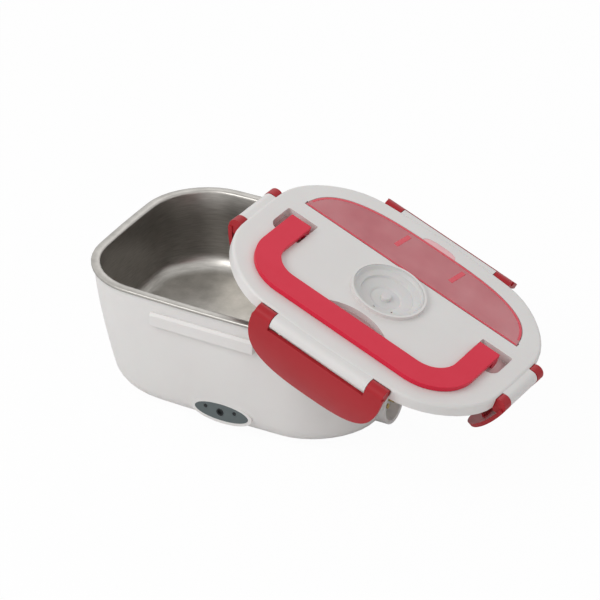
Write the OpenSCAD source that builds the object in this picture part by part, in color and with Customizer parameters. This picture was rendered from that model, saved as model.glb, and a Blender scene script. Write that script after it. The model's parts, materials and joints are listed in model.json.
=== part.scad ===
// Electric lunch box: heated body with a lift-out steel tray, and a lift-off lid with four latches.
// The lid carries a fold-down handle, a steam vent stopper and a spoon under a hinged cover.
// Origin: centre of the base, on the table. +X runs along the box, +Y to the back, +Z up.

/* [Body] */
// Length of the steel rim
rim_l = 238; // [225:1:262]
// Width of the steel rim
rim_w = 173; // [168:1:195]
// Height of the steel rim above the table
rim_h = 111; // [108:1:130]
// Corner radius of the rim in plan
rim_r = 50; // [46:1:56]
// How far the ends bow outwards
rim_bow_x = 3; // [0:0.5:5]
// How far the long sides bow outwards
rim_bow_y = 3; // [0:0.5:5]
// How far the rim overhangs the outer shell
rim_over = 2; // [1.8:0.1:4]
// Wall of the outer shell
shell_wall = 2; // [1.6:0.1:2.2]
// How much each end draws in from rim to base
taper_x = 7; // [3:0.5:8]
// How much each long side draws in from rim to base
taper_y = 19; // [12:0.5:20]
// Radius that turns the wall under the base
base_round = 18; // [14:1:22]
// Clear height between shell and table
foot_h = 2; // [1.5:0.1:3]
// Half length of a catch ledge on a long side
ledge_long = 44; // [34:1:50]
// Half length of a catch ledge on an end
ledge_short = 24; // [18:1:28]
// Height of a catch ledge
ledge_h = 10.4; // [6:0.1:12]

/* [Base] */
// How far the base cover stays inside the foot of the shell
cover_in = 3.5; // [3.2:0.1:4.5]
// Thickness of the base cover
cover_t = 2; // [1.6:0.1:2.4]
// Diameter of a rubber foot
foot_d = 14; // [10:1:18]
// Foot position along the box
foot_x = 70; // [50:1:74]
// Foot position across the box
foot_y = 34; // [24:1:36]
// Gap between the heating plate and a screw post
post_gap = 1.5; // [1:0.1:2]
// Base screw position across the box
post_y = 13; // [9:1:16]
// Diameter of a screw post
post_d = 8; // [7:0.5:9]
// Shank diameter of a base screw
base_screw_d = 3; // [2.5:0.1:3.5]

/* [Tray] */
// Sheet thickness of the steel tray
tray_t = 0.8; // [0.6:0.1:1]
// Inside depth of the tray
tray_depth = 62; // [54:1:62]
// Rounding between tray wall and tray floor
tray_round = 12; // [8:1:16]
// How much more the liner draws in than the shell, at the liner's floor
liner_lean = 0.2; // [0:0.1:2]
// Depth of the rolled edge of the rim
lip_h = 2.7; // [2.3:0.1:3]
// Wall of the inner liner
liner_t = 1.3; // [1:0.1:1.5]
// Thickness of the liner flange
liner_flange_t = 1.5; // [1.2:0.1:2]

/* [Heating] */
// Distance from the end of the rim to the end of the plate recess
plate_end = 46.4; // [46:0.1:58]
// Distance from the side of the rim to the side of the plate recess
plate_side = 42.9; // [42.5:0.1:52]
// Height of the raised part above the liner floor
plate_rise = 1.9; // [1.5:0.1:2.2]
// Sheet thickness of the heating plate
plate_t = 2; // [1.5:0.1:2.5]
// Width of the heating plate flange
plate_flange = 8.4; // [8:0.1:8.8]
// Length of the heating element
heater_l = 60; // [50:1:70]
// Width of the heating element
heater_w = 30; // [24:1:36]
// Thickness of the heating element
heater_h = 6; // [5:0.5:8]
// Diameter of the thermostat
thermostat_d = 16; // [12:0.5:18]
// Height of the thermostat
thermostat_h = 8; // [6:0.5:10]
// Shank diameter of the small screws
plate_screw_d = 2.8; // [2.5:0.1:3]

/* [Power inlet and indicator] */
// Diameter of the inlet boss
inlet_d = 32; // [28:1:32]
// Height of the inlet centre above the table
inlet_z = 18.5; // [18.3:0.1:22]
// How far the inlet face stands out from the shell
inlet_out = 4.8; // [3.8:0.1:7.3]
// Diameter of the inlet recess
recess_d = 26; // [22:1:27]
// Depth of the inlet recess
recess_h = 9; // [7:0.5:9]
// Diameter of a contact pin
contact_d = 4; // [3:0.1:4.5]
// Distance between the contact pins
contact_pitch = 10; // [8:0.5:12]
// Half length of the oval indicator housing
housing_a = 26; // [25:0.5:30]
// Half height of the oval indicator housing
housing_b = 9.5; // [9:0.5:11]
// Height of the indicator centre above the table
panel_z = 17.6; // [16:0.1:20]
// Distance of the indicator panel centre right of the middle of the body
panel_x = 8; // [0:0.5:10]
// How far the housing face stands out from the shell
housing_out = 1.7; // [1.2:0.1:3.2]
// Half length of the oval indicator panel
panel_a = 23; // [20:0.5:24]
// Half height of the oval indicator panel
panel_b = 7; // [5.8:0.1:7.2]
// Thickness of the indicator panel
panel_t = 1.6; // [1.2:0.1:2]
// Diameter of an indicator light
light_d = 3; // [2:0.1:3.4]
// Diameter of the power light ring
ring_d = 6; // [5:0.1:7]

/* [Lid] */
// Length of the lid
lid_l = 234; // [231:1:255]
// Width of the lid
lid_w = 175; // [173:1:192]
// Corner radius of the lid in plan
lid_r = 56; // [52:1:60]
// How far the lid ends bow outwards
lid_bow_x = 6; // [3:0.5:7]
// How far the long lid sides bow outwards
lid_bow_y = 10; // [6:0.5:11]
// Height of the lid edge
lid_edge = 9.5; // [9:0.1:12]
// Rounding of the top edge of the lid
lid_round = 2.5; // [1.5:0.1:3]
// Thickness of the lid deck
deck_t = 2; // [1.6:0.1:2.4]
// How far the inner plate stands below the lid edge
plug_h = 5.5; // [4.5:0.1:7]
// Thickness of the inner plate
inner_t = 2; // [1.5:0.1:2.4]
// Width of the sealing ring
gasket_w = 2.6; // [2:0.1:3]
// Height of the sealing ring
gasket_h = 2.8; // [2:0.1:3.2]
// Tilt of the resting lid along the box
lid_tilt = 19.9; // [16:0.1:24]
// Turn of the resting lid seen from above
lid_turn = -3; // [-6:0.5:0]
// Position of the resting lid along the box
lid_x = 120.5; // [114:0.5:124]
// Position of the resting lid across the box
lid_y = -18; // [-26:0.5:-14]

/* [Latches] */
// Hinge axis beyond the long lid edges
axis_out_long = 1.5; // [1.5:0.1:3]
// Hinge axis beyond the lid ends
axis_out_short = 2.5; // [2.5:0.1:4]
// Hinge axis below the lid top
axis_drop = 6.5; // [6.4:0.1:7]
// Half length of the hinge tongue on a long side
tongue_long = 42.5; // [38:0.5:44]
// Half length of the hinge tongue on an end
tongue_short = 19; // [17:0.5:20]
// Length of a latch ear on a long side
ear_long = 14.5; // [12:0.5:15]
// Length of a latch ear on an end
ear_short = 8.5; // [7:0.5:12]
// Radius of a latch ear
ear_r = 6; // [5.5:0.1:6.2]
// Depth of a latch below its axis
latch_h = 47; // [42:1:50]
// Thickness of a latch plate
latch_t = 3.2; // [2.6:0.1:3.4]
// Outside radius of the latch curve
latch_curve = 106; // [95:1:130]
// Squareness of the latch outline
latch_power = 2.75; // [2.2:0.05:3.4]
// Diameter of a latch pin
latch_pin_d = 2.5; // [2:0.1:2.8]
// How far the back latch stands open
back_open = 55; // [50:1:60]
// How far the end latches swing in under the resting lid
latch_in = 18; // [0:1:24]

/* [Handle] */
// How far the carry handle stays inside the ends of the inner plate
handle_in = 16.8; // [14.8:0.5:19.8]
// Lid left free in front of the carry handle
handle_back = 18.5; // [16:0.5:21]
// Width of the handle bar
bar_w = 21; // [16:0.5:21]
// Width of a handle arm
arm_w = 18; // [14:0.5:18]
// Thickness of the handle
handle_t = 4; // [3:0.1:4.2]
// Outer corner radius of the handle
handle_r = 38; // [30:1:42]
// Inner corner radius of the handle
handle_ri = 21; // [14:1:26]
// Handle pivot behind the lid centre
pivot_y = 4; // [2:0.5:5]
// Handle pivot below the lid top
pivot_z = 2.5; // [2.4:0.1:2.8]
// Diameter of a handle pin
handle_pin_d = 3; // [2.5:0.1:3.4]

/* [Spoon bay and vent] */
// How far the spoon cover stays inside the ends of the inner plate
bay_end = 14.8; // [13.8:0.5:17.8]
// How far the spoon cover stays inside the back of the inner plate
bay_edge = 6.3; // [6.3:0.5:9.3]
// Outline centre of the spoon cover behind the lid centre
bay_y = 20; // [18:0.5:20]
// Front edge of the spoon cover
bay_front = 31.5; // [31.2:0.1:33]
// Thickness of the spoon cover
flap_t = 1.6; // [1.2:0.1:1.8]
// Depth of the spoon bay floor below the lid top
bay_h = 11; // [10:0.5:11]
// How much shorter the spoon is than its cover
spoon_less = 34; // [34:1:54]
// Length of the spoon bowl
bowl_l = 40; // [34:1:44]
// Room for fingers beside the spoon bowl
bowl_gap = 6.9; // [6.9:0.1:12]
// Sheet thickness of the spoon
spoon_t = 1.2; // [1:0.1:1.5]
// Outside radius of the vent ring
vent_r = 29; // [24:0.1:29.2]
// Height of the vent ring above the lid
vent_up = 3; // [1:0.1:3.4]
// Width of the vent ring
vent_ring = 1.8; // [1.4:0.1:2.5]
// Radius of the vent stem
stem_r = 5.8; // [4:0.1:7]

/* [Hidden] */

// Seat: flat faces of separate bodies that rest on one another stay this far apart
seat = 0.3;
// Fit: side gap between pieces that slip into one another
fit = 0.3;
// Radial clearances of a fixed pin and of a turning pin
pin_fixed = 0.02;
pin_run = 0.04;
eps = 0.05;

rim_a = rim_l / 2;
rim_b = rim_w / 2;
plate_a = rim_a - plate_end;
plate_b = rim_b - plate_side;
lid_a = lid_l / 2;
lid_b = lid_w / 2;
corner_n = 10;
// The corner radius of body, liner and tray grows by this much from rim to table
corner_grow = 5;

// Outlines: rounded rectangle whose sides bow outwards
function arc_pts(cx, cy, r, t0) = [for (i = [0:corner_n]) let (t = t0 + 90 * i / corner_n)
    [cx + r * cos(t), cy + r * sin(t)]];
function between(p, q, n) = [for (i = [1:n]) p + (q - p) * i / (n + 1)];
function round_rect(a, b, r) = let (
    c1 = arc_pts(a - r, b - r, r, 0),
    c2 = arc_pts(r - a, b - r, r, 90),
    c3 = arc_pts(r - a, r - b, r, 180),
    c4 = arc_pts(a - r, r - b, r, 270))
    concat(c1, between(c1[corner_n], c2[0], 5), c2, between(c2[corner_n], c3[0], 3),
        c3, between(c3[corner_n], c4[0], 5), c4, between(c4[corner_n], c1[0], 3));
function outline(a, b, r, bx, by) = [for (p = round_rect(a, b, r))
    [p.x * (1 - bx * pow(p.y / b, 2) / a), p.y * (1 - by * pow(p.x / a, 2) / b)]];
function at_z(pts, z) = [for (p = pts) [p.x, p.y, z]];
function superoval(a, b, n, m) = [for (i = [0:m - 1]) let (t = 360 * i / m)
    [a * sign(cos(t)) * pow(abs(cos(t)), 2 / n), b * sign(sin(t)) * pow(abs(sin(t)), 2 / n)]];
// Rim outline drawn in by dx, dy at height z, with its corner radius reduced by dr
function rim_ring(dx, dy, dr, z) = at_z(outline(rim_a - dx, rim_b - dy, rim_r - dr, rim_bow_x,
    rim_bow_y), z);
function turn_in(r, z) = z >= r ? 0 : r - sqrt(r * r - pow(r - z, 2));

// Solid between rings of equal length: capped at both ends, or closed back on itself
module loft(rings, closed = false) {
    n = len(rings[0]);
    m = len(rings);
    caps = closed ? [] : [[for (j = [0:n - 1]) j], [for (j = [n - 1:-1:0]) (m - 1) * n + j]];
    polyhedron(points = [for (r = rings) each r],
        faces = concat(caps, [for (i = [0:closed ? m - 1 : m - 2]) for (j = [0:n - 1])
            let (k = (i + 1) % m, l = (j + 1) % n) [i * n + j, k * n + j, k * n + l, i * n + l]]),
        convexity = 8);
}
module slab(pts, z0, z1) {
    translate([0, 0, z0]) linear_extrude(height = z1 - z0) polygon(pts);
}
module block(x0, x1, y0, y1, z0, z1) {
    translate([x0, y0, z0]) cube([x1 - x0, y1 - y0, z1 - z0]);
}
module rod_x(r, x0, x1, y, z, n = 48) {
    translate([x0, y, z]) rotate([0, 90, 0]) cylinder(r = r, h = x1 - x0, $fn = n);
}
module rod_y(r, x, y0, y1, z, n = 48) {
    translate([x, y1, z]) rotate([90, 0, 0]) cylinder(r = r, h = y1 - y0, $fn = n);
}
module rod_z(r, x, y, z0, z1, n = 48) {
    translate([x, y, z0]) cylinder(r = r, h = z1 - z0, $fn = n);
}
module four(x, y) {
    for (i = [-1, 1], j = [-1, 1]) translate([i * x, j * y, 0]) children();
}

// ---- heights of the body stack ----
tray_floor = rim_h - tray_depth;
tray_bottom = tray_floor - tray_t;
flange_under = rim_h - tray_t;
liner_top = flange_under - seat;
shell_top = liner_top - liner_flange_t;
plate_top = tray_bottom - seat;
liner_floor = plate_top - plate_rise;
liner_floor_t = 2;
liner_bottom = liner_floor - liner_floor_t;
plate_under = liner_bottom - 2;
plate_skin = plate_top - plate_t;
// Offsets inwards from the rim outline
shell_in = rim_over + shell_wall;
liner_out = shell_in + fit;
liner_in = liner_out + liner_t;
tray_out = liner_in + 0.5;
tray_in = tray_out + tray_t;
lip_in = 1.6;
liner_edge = rim_over + 0.4;
rim_soft = 2;

function narrow(z) = pow((rim_h - z) / rim_h, 1.5);
// Outer surface of the shell (w = 0), or the surface w further in
function shell_ring(z, w) = let (k = narrow(z), o = w + turn_in(base_round - w, z - w))
    rim_ring(rim_over + taper_x * k + o, rim_over + taper_y * k + o,
        rim_over - corner_grow * (1 - z / rim_h) + w + 0.5 * (o - w), z);
function shell_x(z) = rim_a - rim_over - taper_x * narrow(z) - turn_in(base_round, z);
function shell_y(z) = rim_b - rim_over - taper_y * narrow(z) - turn_in(base_round, z);

// Liner and tray draw in a little more than the shell around them, down to the liner's floor
draft_x = (taper_x * narrow(liner_bottom) + liner_lean) / (rim_h - liner_bottom);
draft_y = (taper_y * narrow(liner_bottom) + liner_lean) / (rim_h - liner_bottom);
// Wall of liner or tray: d in from the rim outline, h below the rim, and o for a rounded floor edge
function wall_ring(d, h, o) = rim_ring(d + draft_x * h + o, d + draft_y * h + o,
    d + o - corner_grow * h / rim_h, rim_h - h);

// ---- base ----
base_ring_z = foot_h + 5;
cover_z = foot_h + 0.6;
cover_top = cover_z + cover_t;
cover_a = shell_x(foot_h) - cover_in;
cover_b = shell_y(foot_h) - cover_in;
cover_r = min(rim_r - 5, cover_b - 4);
cover_edge = 3;
post_x = plate_a + plate_flange + post_d / 2 + post_gap;
screw_grip = 10;
screw_head = 2;
post_end = cover_top + 2.4;
function cover_line(d) = outline(cover_a - d, cover_b - d, cover_r - d, rim_bow_x, rim_bow_y);

// ---- ledges: the hook ribs of the latches catch under these ----
lid_seat_z = rim_h + lid_edge;
axis_closed = lid_seat_z - axis_drop;
hook_d = 28.5;
hook_t = 3;
ledge_bottom = axis_closed - hook_d + 1.5;
ledge_top = ledge_bottom + ledge_h;
ledge_soft = 2;
// Inside of a closed latch plate at depth d, measured outwards from its axis
function plate_in(d) = ear_r - latch_curve + sqrt(pow(latch_curve - latch_t, 2) - d * d);
function plate_out(d) = ear_r - latch_curve + sqrt(pow(latch_curve, 2) - d * d);
ledge_out_long = 2.4;
ledge_out_short = 1.3;
ledge_y = shell_y(ledge_top) + ledge_out_long;
ledge_x = shell_x(ledge_top) + ledge_out_short;
module ledge(half, edge, wall) {
    rotate([90, 0, 90]) translate([0, 0, -half]) linear_extrude(height = 2 * half)
        polygon([[-wall, ledge_bottom], [-edge, ledge_bottom], [-edge, ledge_top - ledge_soft],
            [-edge + ledge_soft, ledge_top], [-wall, ledge_top]]);
}

// ---- inlet and indicator ----
inlet_x = shell_x(inlet_z) + inlet_out;
housing_y = shell_y(panel_z) + housing_out;
recess_floor = inlet_x - recess_h;
socket_face = recess_floor - 2;
socket_l = 8;
contact_end = inlet_x - 2;
contact_back = socket_face - socket_l - 3;
panel_face = housing_y + 0.3;
panel_back = panel_face - panel_t;
board_face = housing_y - 7.9;
board_t = 1.6;
board_a = 20;
board_h = 11;
light_side = 12.4;
light_mid = panel_x - 1.1;
light_up = 2.2;
window_in = 1.2;
window_a = panel_a - window_in;
window_b = panel_b - window_in;
socket_ear = 14;
socket_ear_h = 4;
function oval(a, b) = superoval(a, b, 2, 48);
module oval_y(a, b, y0, y1) {
    translate([panel_x, y1, panel_z]) rotate([90, 0, 0]) linear_extrude(height = y1 - y0)
        polygon(oval(a, b));
}

module outer_shell() {
    outer_z = [foot_h, foot_h + 0.8, foot_h + 2.3, 7, 10, 14, base_round];
    wall_z = [for (s = [0.12, 0.26, 0.42, 0.6, 0.8, 1]) base_round + (shell_top - base_round) * s];
    rings = concat(
        [for (z = outer_z) shell_ring(z, 0)],
        [for (z = wall_z) shell_ring(z, 0)],
        [for (i = [len(wall_z) - 1:-1:0]) shell_ring(wall_z[i], shell_wall)],
        [for (z = [base_round, 13, 9.5, base_ring_z]) shell_ring(z, shell_wall)],
        [at_z(cover_line(cover_edge), base_ring_z), at_z(cover_line(cover_edge), cover_top),
            at_z(cover_line(0), cover_top), at_z(cover_line(0), foot_h)]);
    color([0.86, 0.85, 0.84]) difference() {
        union() {
            loft(rings, closed = true);
            for (a = [0, 180]) rotate([0, 0, a]) ledge(ledge_long, ledge_y, shell_y(ledge_bottom) - 0.8);
            for (a = [90, 270]) rotate([0, 0, a])
                ledge(ledge_short, ledge_x, shell_x(ledge_bottom) - 0.8);
            oval_y(housing_a, housing_b, -housing_y, -board_face);
            rod_x(inlet_d / 2, socket_face, inlet_x, 0, inlet_z, 72);
        }
        rod_x(recess_d / 2, recess_floor, inlet_x + 1, 0, inlet_z, 72);
        for (i = [-1, 1]) rod_x(contact_d / 2 + pin_fixed, socket_face - 1, recess_floor + 1,
            i * contact_pitch / 2, inlet_z, 32);
        oval_y(panel_a + 0.1, panel_b + 0.1, -housing_y - 1, -panel_back);
        oval_y(window_a, window_b, -housing_y, -board_face);
    }
}
module base_cover() {
    color([0.82, 0.81, 0.8]) difference() {
        union() {
            slab(cover_line(fit), cover_z, cover_top);
            four(post_x, post_y) rod_z(post_d / 2 + 1, 0, 0, cover_z, post_end);
        }
        four(post_x, post_y) {
            rod_z(base_screw_d / 2 + 0.2, 0, 0, cover_z - 1, post_end + 1);
            rod_z(base_screw_d + 0.1, 0, 0, cover_z - 1, cover_z + screw_head);
        }
    }
}

module rubber_feet() {
    color([0.2, 0.2, 0.2]) {
        four(foot_x, foot_y) rod_z(foot_d / 2, 0, 0, 0, cover_z);
        rod_z(foot_d / 2, 0, 0, 0, cover_z);
    }
}

module base_screws() {
    color("silver") four(post_x, post_y) {
        rod_z(base_screw_d, 0, 0, cover_z + 0.1, cover_z + screw_head);
        rod_z(base_screw_d / 2, 0, 0, cover_z + 0.1, post_end + screw_grip);
    }
}

module inner_liner() {
    ri = tray_round + tray_t + 0.5;
    ro = ri + liner_t;
    depth = rim_h - liner_floor;
    under = depth + liner_t;
    turns = [0, 22.5, 45, 67.5, 90];
    color([0.8, 0.8, 0.79]) difference() {
        union() {
            loft(concat(
                [wall_ring(liner_out, rim_h - liner_bottom, ro * 0.85)],
                [for (t = [30, 50, 70, 90]) wall_ring(liner_out, under - ro * (1 - cos(t)),
                    ro * (1 - sin(t)))],
                [rim_ring(liner_out, liner_out, liner_out, shell_top)],
                [rim_ring(liner_edge, liner_edge, liner_edge, shell_top)],
                [rim_ring(liner_edge, liner_edge, liner_edge, liner_top)],
                [rim_ring(liner_in, liner_in, liner_in, liner_top)],
                [for (i = [4:-1:0]) wall_ring(liner_in, depth - ri * (1 - cos(turns[i])),
                    ri * (1 - sin(turns[i])))]));
            four(post_x, post_y) rod_z(post_d / 2, 0, 0, post_end, liner_bottom + 1);
        }
        block(-plate_a - 0.3, plate_a + 0.3, -plate_b - 0.3, plate_b + 0.3, liner_bottom - 1,
            liner_floor + 1);
        four(post_x, post_y) rod_z(base_screw_d / 2 + pin_fixed, 0, 0, post_end - 1,
            post_end + screw_grip + 2);
        four(plate_screw_x, plate_screw_y) rod_z(plate_screw_d / 2 + pin_fixed, 0, 0,
            liner_bottom - 1, liner_floor - 0.4);
    }
}

plate_screw_x = plate_a + plate_flange / 2;
plate_screw_y = plate_b - 10;
clamp_x = heater_l / 2 + 8;
heater_top = plate_skin;
heater_low = heater_top - heater_h;
clamp_t = 1.5;
clamp_low = heater_low - clamp_t;
clamp_end = 6;
module heating_plate() {
    color([0.74, 0.74, 0.75]) difference() {
        union() {
            block(-plate_a, plate_a, -plate_b, plate_b, plate_under, plate_top);
            block(-plate_a - plate_flange, plate_a + plate_flange, -plate_b - plate_flange,
                plate_b + plate_flange, plate_under, liner_bottom);
        }
        difference() {
            block(-plate_a + 3, plate_a - 3, -plate_b + 3, plate_b - 3, plate_under - 1, plate_skin);
            for (i = [-1, 1]) rod_z(3.5, i * clamp_x, 0, heater_low, plate_skin + 1);
        }
        for (i = [-1, 1]) rod_z(plate_screw_d / 2 + pin_fixed, i * clamp_x, 0, heater_low - 1,
            plate_skin - 0.6);
        four(plate_screw_x, plate_screw_y)
            rod_z(plate_screw_d / 2 + 0.15, 0, 0, plate_under - 1, liner_bottom + 1);
    }
    // bosses reach below the flange down to the clamp
    color([0.74, 0.74, 0.75]) for (i = [-1, 1]) if (heater_low < plate_under) difference() {
        rod_z(3.5, i * clamp_x, 0, heater_low, plate_under + 1);
        rod_z(plate_screw_d / 2 + pin_fixed, i * clamp_x, 0, heater_low - 1, plate_under + 2);
    }
}

module plate_screws() {
    color("silver") four(plate_screw_x, plate_screw_y) {
        rod_z(plate_screw_d * 0.9, 0, 0, plate_under - 1.8, plate_under);
        rod_z(plate_screw_d / 2, 0, 0, plate_under - 1, liner_floor - 0.6);
    }
}

module ptc_heater() {
    color([0.72, 0.62, 0.3]) block(-heater_l / 2, heater_l / 2, -heater_w / 2, heater_w / 2, heater_low,
        heater_top);
}

module heater_clamp() {
    color([0.6, 0.6, 0.62]) difference() {
        block(-clamp_x - clamp_end, clamp_x + clamp_end, -clamp_end, clamp_end, clamp_low, heater_low);
        for (i = [-1, 1]) rod_z(plate_screw_d / 2 + 0.15, i * clamp_x, 0, clamp_low - 1, heater_low + 1);
    }
}

module clamp_screws() {
    color("silver") for (i = [-1, 1]) {
        rod_z(plate_screw_d * 0.9, i * clamp_x, 0, clamp_low - 1.8, clamp_low);
        rod_z(plate_screw_d / 2, i * clamp_x, 0, clamp_low - 1, plate_skin - 1);
    }
}

// ---- thermostat and fuse hang under the heating plate ----
thermo_x = plate_a - 20.6;
thermo_y = plate_b - 21.6;
fuse_r = 2;
fuse_l = 12;
module thermostat() {
    z0 = plate_skin - thermostat_h;
    color([0.25, 0.25, 0.26]) union() {
        rod_z(thermostat_d / 2, thermo_x, thermo_y, z0, plate_skin);
        for (i = [-1, 1]) block(thermo_x - 0.4, thermo_x + 0.4, thermo_y + i * 5 - 2.4,
            thermo_y + i * 5 + 2.4, z0 - 6, z0 + 1);
    }
}
module thermal_fuse() {
    z = plate_skin - fuse_r - 0.05;
    color([0.8, 0.78, 0.72]) union() {
        rod_x(fuse_r, -thermo_x - fuse_l / 2, -thermo_x + fuse_l / 2, thermo_y, z, 32);
        rod_x(0.5, -thermo_x - fuse_l / 2 - 3, -thermo_x + fuse_l / 2 + 3, thermo_y, z, 16);
    }
}

module power_socket() {
    color([0.12, 0.12, 0.12]) difference() {
        union() {
            rod_x(recess_d / 2 - 2, socket_face - socket_l, socket_face, 0, inlet_z, 64);
            block(socket_face - 3, socket_face, -socket_ear, socket_ear, inlet_z - socket_ear_h,
                inlet_z + socket_ear_h);
        }
        for (i = [-1, 1]) rod_x(contact_d / 2 + pin_fixed, socket_face - socket_l - 1, socket_face + 1,
            i * contact_pitch / 2, inlet_z, 32);
    }
}
module contact_pins() {
    color([0.78, 0.66, 0.36]) for (i = [-1, 1])
        rod_x(contact_d / 2, contact_back, contact_end, i * contact_pitch / 2, inlet_z, 32);
}

module indicator_panel() {
    color([0.36, 0.4, 0.43]) difference() {
        oval_y(panel_a, panel_b, -panel_face, -panel_back);
        rod_y(light_d / 2 + 0.1, -light_side + light_mid, -panel_face - 1, -panel_back + 1,
            panel_z + light_up, 24);
        rod_y(light_d / 2 + 0.1, light_side + light_mid, -panel_face - 1, -panel_back + 1,
            panel_z + light_up, 24);
        rod_y(ring_d / 2 + 0.1, light_mid, -panel_face - 1, -panel_back + 1, panel_z, 36);
    }
}
module indicator_lights() {
    color([0.9, 0.88, 0.85]) {
        for (i = [-1, 1]) rod_y(light_d / 2, i * light_side + light_mid, -panel_face - 0.1, -board_face,
            panel_z + light_up, 24);
        difference() {
            rod_y(ring_d / 2, light_mid, -panel_face - 0.1, -board_face, panel_z, 36);
            rod_y(ring_d / 2 - 1, light_mid, -panel_face - 1, -panel_back, panel_z, 36);
        }
    }
}
module light_board() {
    color([0.15, 0.4, 0.25]) block(panel_x - board_a, panel_x + board_a, -board_face,
        -board_face + board_t,
        panel_z - board_h / 2, panel_z + board_h / 2);
}

// ---- insulated leads: round tubes swept along their routes ----
function unit(v) = v / norm(v);
function heading(path, i) = unit(
    (i > 0 ? unit(path[i] - path[i - 1]) : [0, 0, 0])
    + (i < len(path) - 1 ? unit(path[i + 1] - path[i]) : [0, 0, 0]));
function tube_ring(path, i, r) = let (t = heading(path, i), s = unit(cross([0.2, 0.1, 1], t)),
    u = cross(t, s)) [for (j = [0:7]) path[i] + r * (cos(45 * j) * s + sin(45 * j) * u)];
module lead(path) {
    loft([for (i = [0:len(path) - 1]) tube_ring(path, i, lead_r)]);
}
lead_r = 1;
module inner_leads() {
    zt = plate_skin - thermostat_h - 5;
    y1 = contact_pitch / 2;
    yb = board_t - board_face + 0.5;
    zl = panel_z + 3;
    xb = panel_x - board_a + 4;
    fuse_z = plate_skin - fuse_r - 0.05;
    fuse_in = -thermo_x - fuse_l / 2 - 4.2;
    fuse_out = -thermo_x + fuse_l / 2 + 4.2;
    color([0.75, 0.2, 0.15]) {
        lead([[contact_back, y1, inlet_z], [contact_back - 5, y1, inlet_z],
            [contact_back - 14, y1 + 1, inlet_z + 3], [thermo_x + 16, thermo_y + 4, zt - 3],
            [thermo_x + 9, thermo_y + 5, zt], [thermo_x + 0.7, thermo_y + 5, zt]]);
        lead([[thermo_x - 0.7, thermo_y - 5, zt], [thermo_x - 6, thermo_y - 5, zt],
            [thermo_x - 12, thermo_y - 7, zt + 3], [heater_l / 2 + 5, heater_w / 2 - 5, heater_low + 2],
            [heater_l / 2 + 0.3, heater_w / 2 - 5, heater_low + 2]]);
        lead([[contact_back, -y1, inlet_z], [contact_back - 5, -y1, inlet_z],
            [contact_back - 14, -y1 - 1, inlet_z - 2], [20, -24, 14], [xb + 4, -40, 15],
            [xb, -board_face + 8, zl], [xb, yb, zl]]);
        lead([[xb + 6, yb, zl], [xb + 6, -board_face + 8, zl], [-22, -36, 24],
            [-44, -10, 32], [fuse_in - 3, thermo_y - 6, fuse_z - 5],
            [fuse_in - 2, thermo_y - 2, fuse_z - 1], [fuse_in, thermo_y, fuse_z]]);
        lead([[fuse_out, thermo_y, fuse_z], [fuse_out + 2, thermo_y - 2, fuse_z - 1],
            [-heater_l / 2 - 5, heater_w / 2 - 5, heater_low + 2],
            [-heater_l / 2 - 0.3, heater_w / 2 - 5, heater_low + 2]]);
    }
}

module steel_tray() {
    ro = tray_round + tray_t;
    bend = [0, 18, 36, 54, 72, 90];
    ho = rim_h - tray_bottom;
    color([0.62, 0.61, 0.6]) loft(concat(
        [for (t = bend) wall_ring(tray_out, ho - ro * (1 - cos(t)), ro * (1 - sin(t)))],
        [wall_ring(tray_out, 24, 0)],
        [rim_ring(tray_out, tray_out, tray_out, flange_under)],
        [for (q = [[lip_in, tray_t], [lip_in, lip_h], [0.8, lip_h], [0.1, lip_h - 0.6], [0, 1],
            [0.35, 0.25], [1.2, 0], [tray_in - rim_soft, 0], [tray_in - rim_soft * 0.29, rim_soft * 0.12],
            [tray_in - 0.1, rim_soft * 0.6]]) rim_ring(q[0], q[0], q[0], rim_h - q[1])],
        [wall_ring(tray_in, rim_soft, 0)],
        [wall_ring(tray_in, 24, 0)],
        [for (i = [5:-1:0]) wall_ring(tray_in, tray_depth - tray_round * (1 - cos(bend[i])),
            tray_round * (1 - sin(bend[i])))]));
}

// ---- lid, in its own frame: top face at z = 0, turned and tilted as it rests on the rim ----
lid_up = [sin(lid_tilt) * cos(lid_turn), sin(lid_tilt) * sin(lid_turn), cos(lid_tilt)];
lid_under = lid_edge + plug_h;
rim_touch = max([for (p = concat(rim_ring(1.2, 1.2, 1.2, rim_h), rim_ring(0.35, 0.35, 0.35,
    rim_h - 0.25))) p * lid_up]);
lid_z = (rim_touch + lid_under + seat - lid_up.x * lid_x - lid_up.y * lid_y) / lid_up.z;
module lid_place() {
    translate([lid_x, lid_y, lid_z]) rotate([0, lid_tilt, lid_turn]) children();
}
function lid_line(d) = outline(lid_a - d, lid_b - d, lid_r - d, lid_bow_x, lid_bow_y);
// Plug outline: the part of the lid that goes down into the tray
plug_a = min(rim_a - tray_in - 0.3, lid_a - 4.9);
plug_b = min(rim_b - tray_in - 0.3, lid_b - 4);
plug_r = lid_r - 3;
function plug_line(d) = outline(plug_a - d, plug_b - d, plug_r - d, lid_bow_x, lid_bow_y);
inner_edge = gasket_w + 0.2;
cavity_edge = inner_edge - 0.4;

// Latch positions around the lid
module at_front() { translate([0, -lid_b - axis_out_long, -axis_drop]) children(); }
module at_back() { rotate([0, 0, 180]) at_front() children(); }
module at_right() { rotate([0, 0, 90]) translate([0, -lid_a - axis_out_short, -axis_drop]) children(); }
module at_left() { rotate([0, 0, 180]) at_right() children(); }
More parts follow.
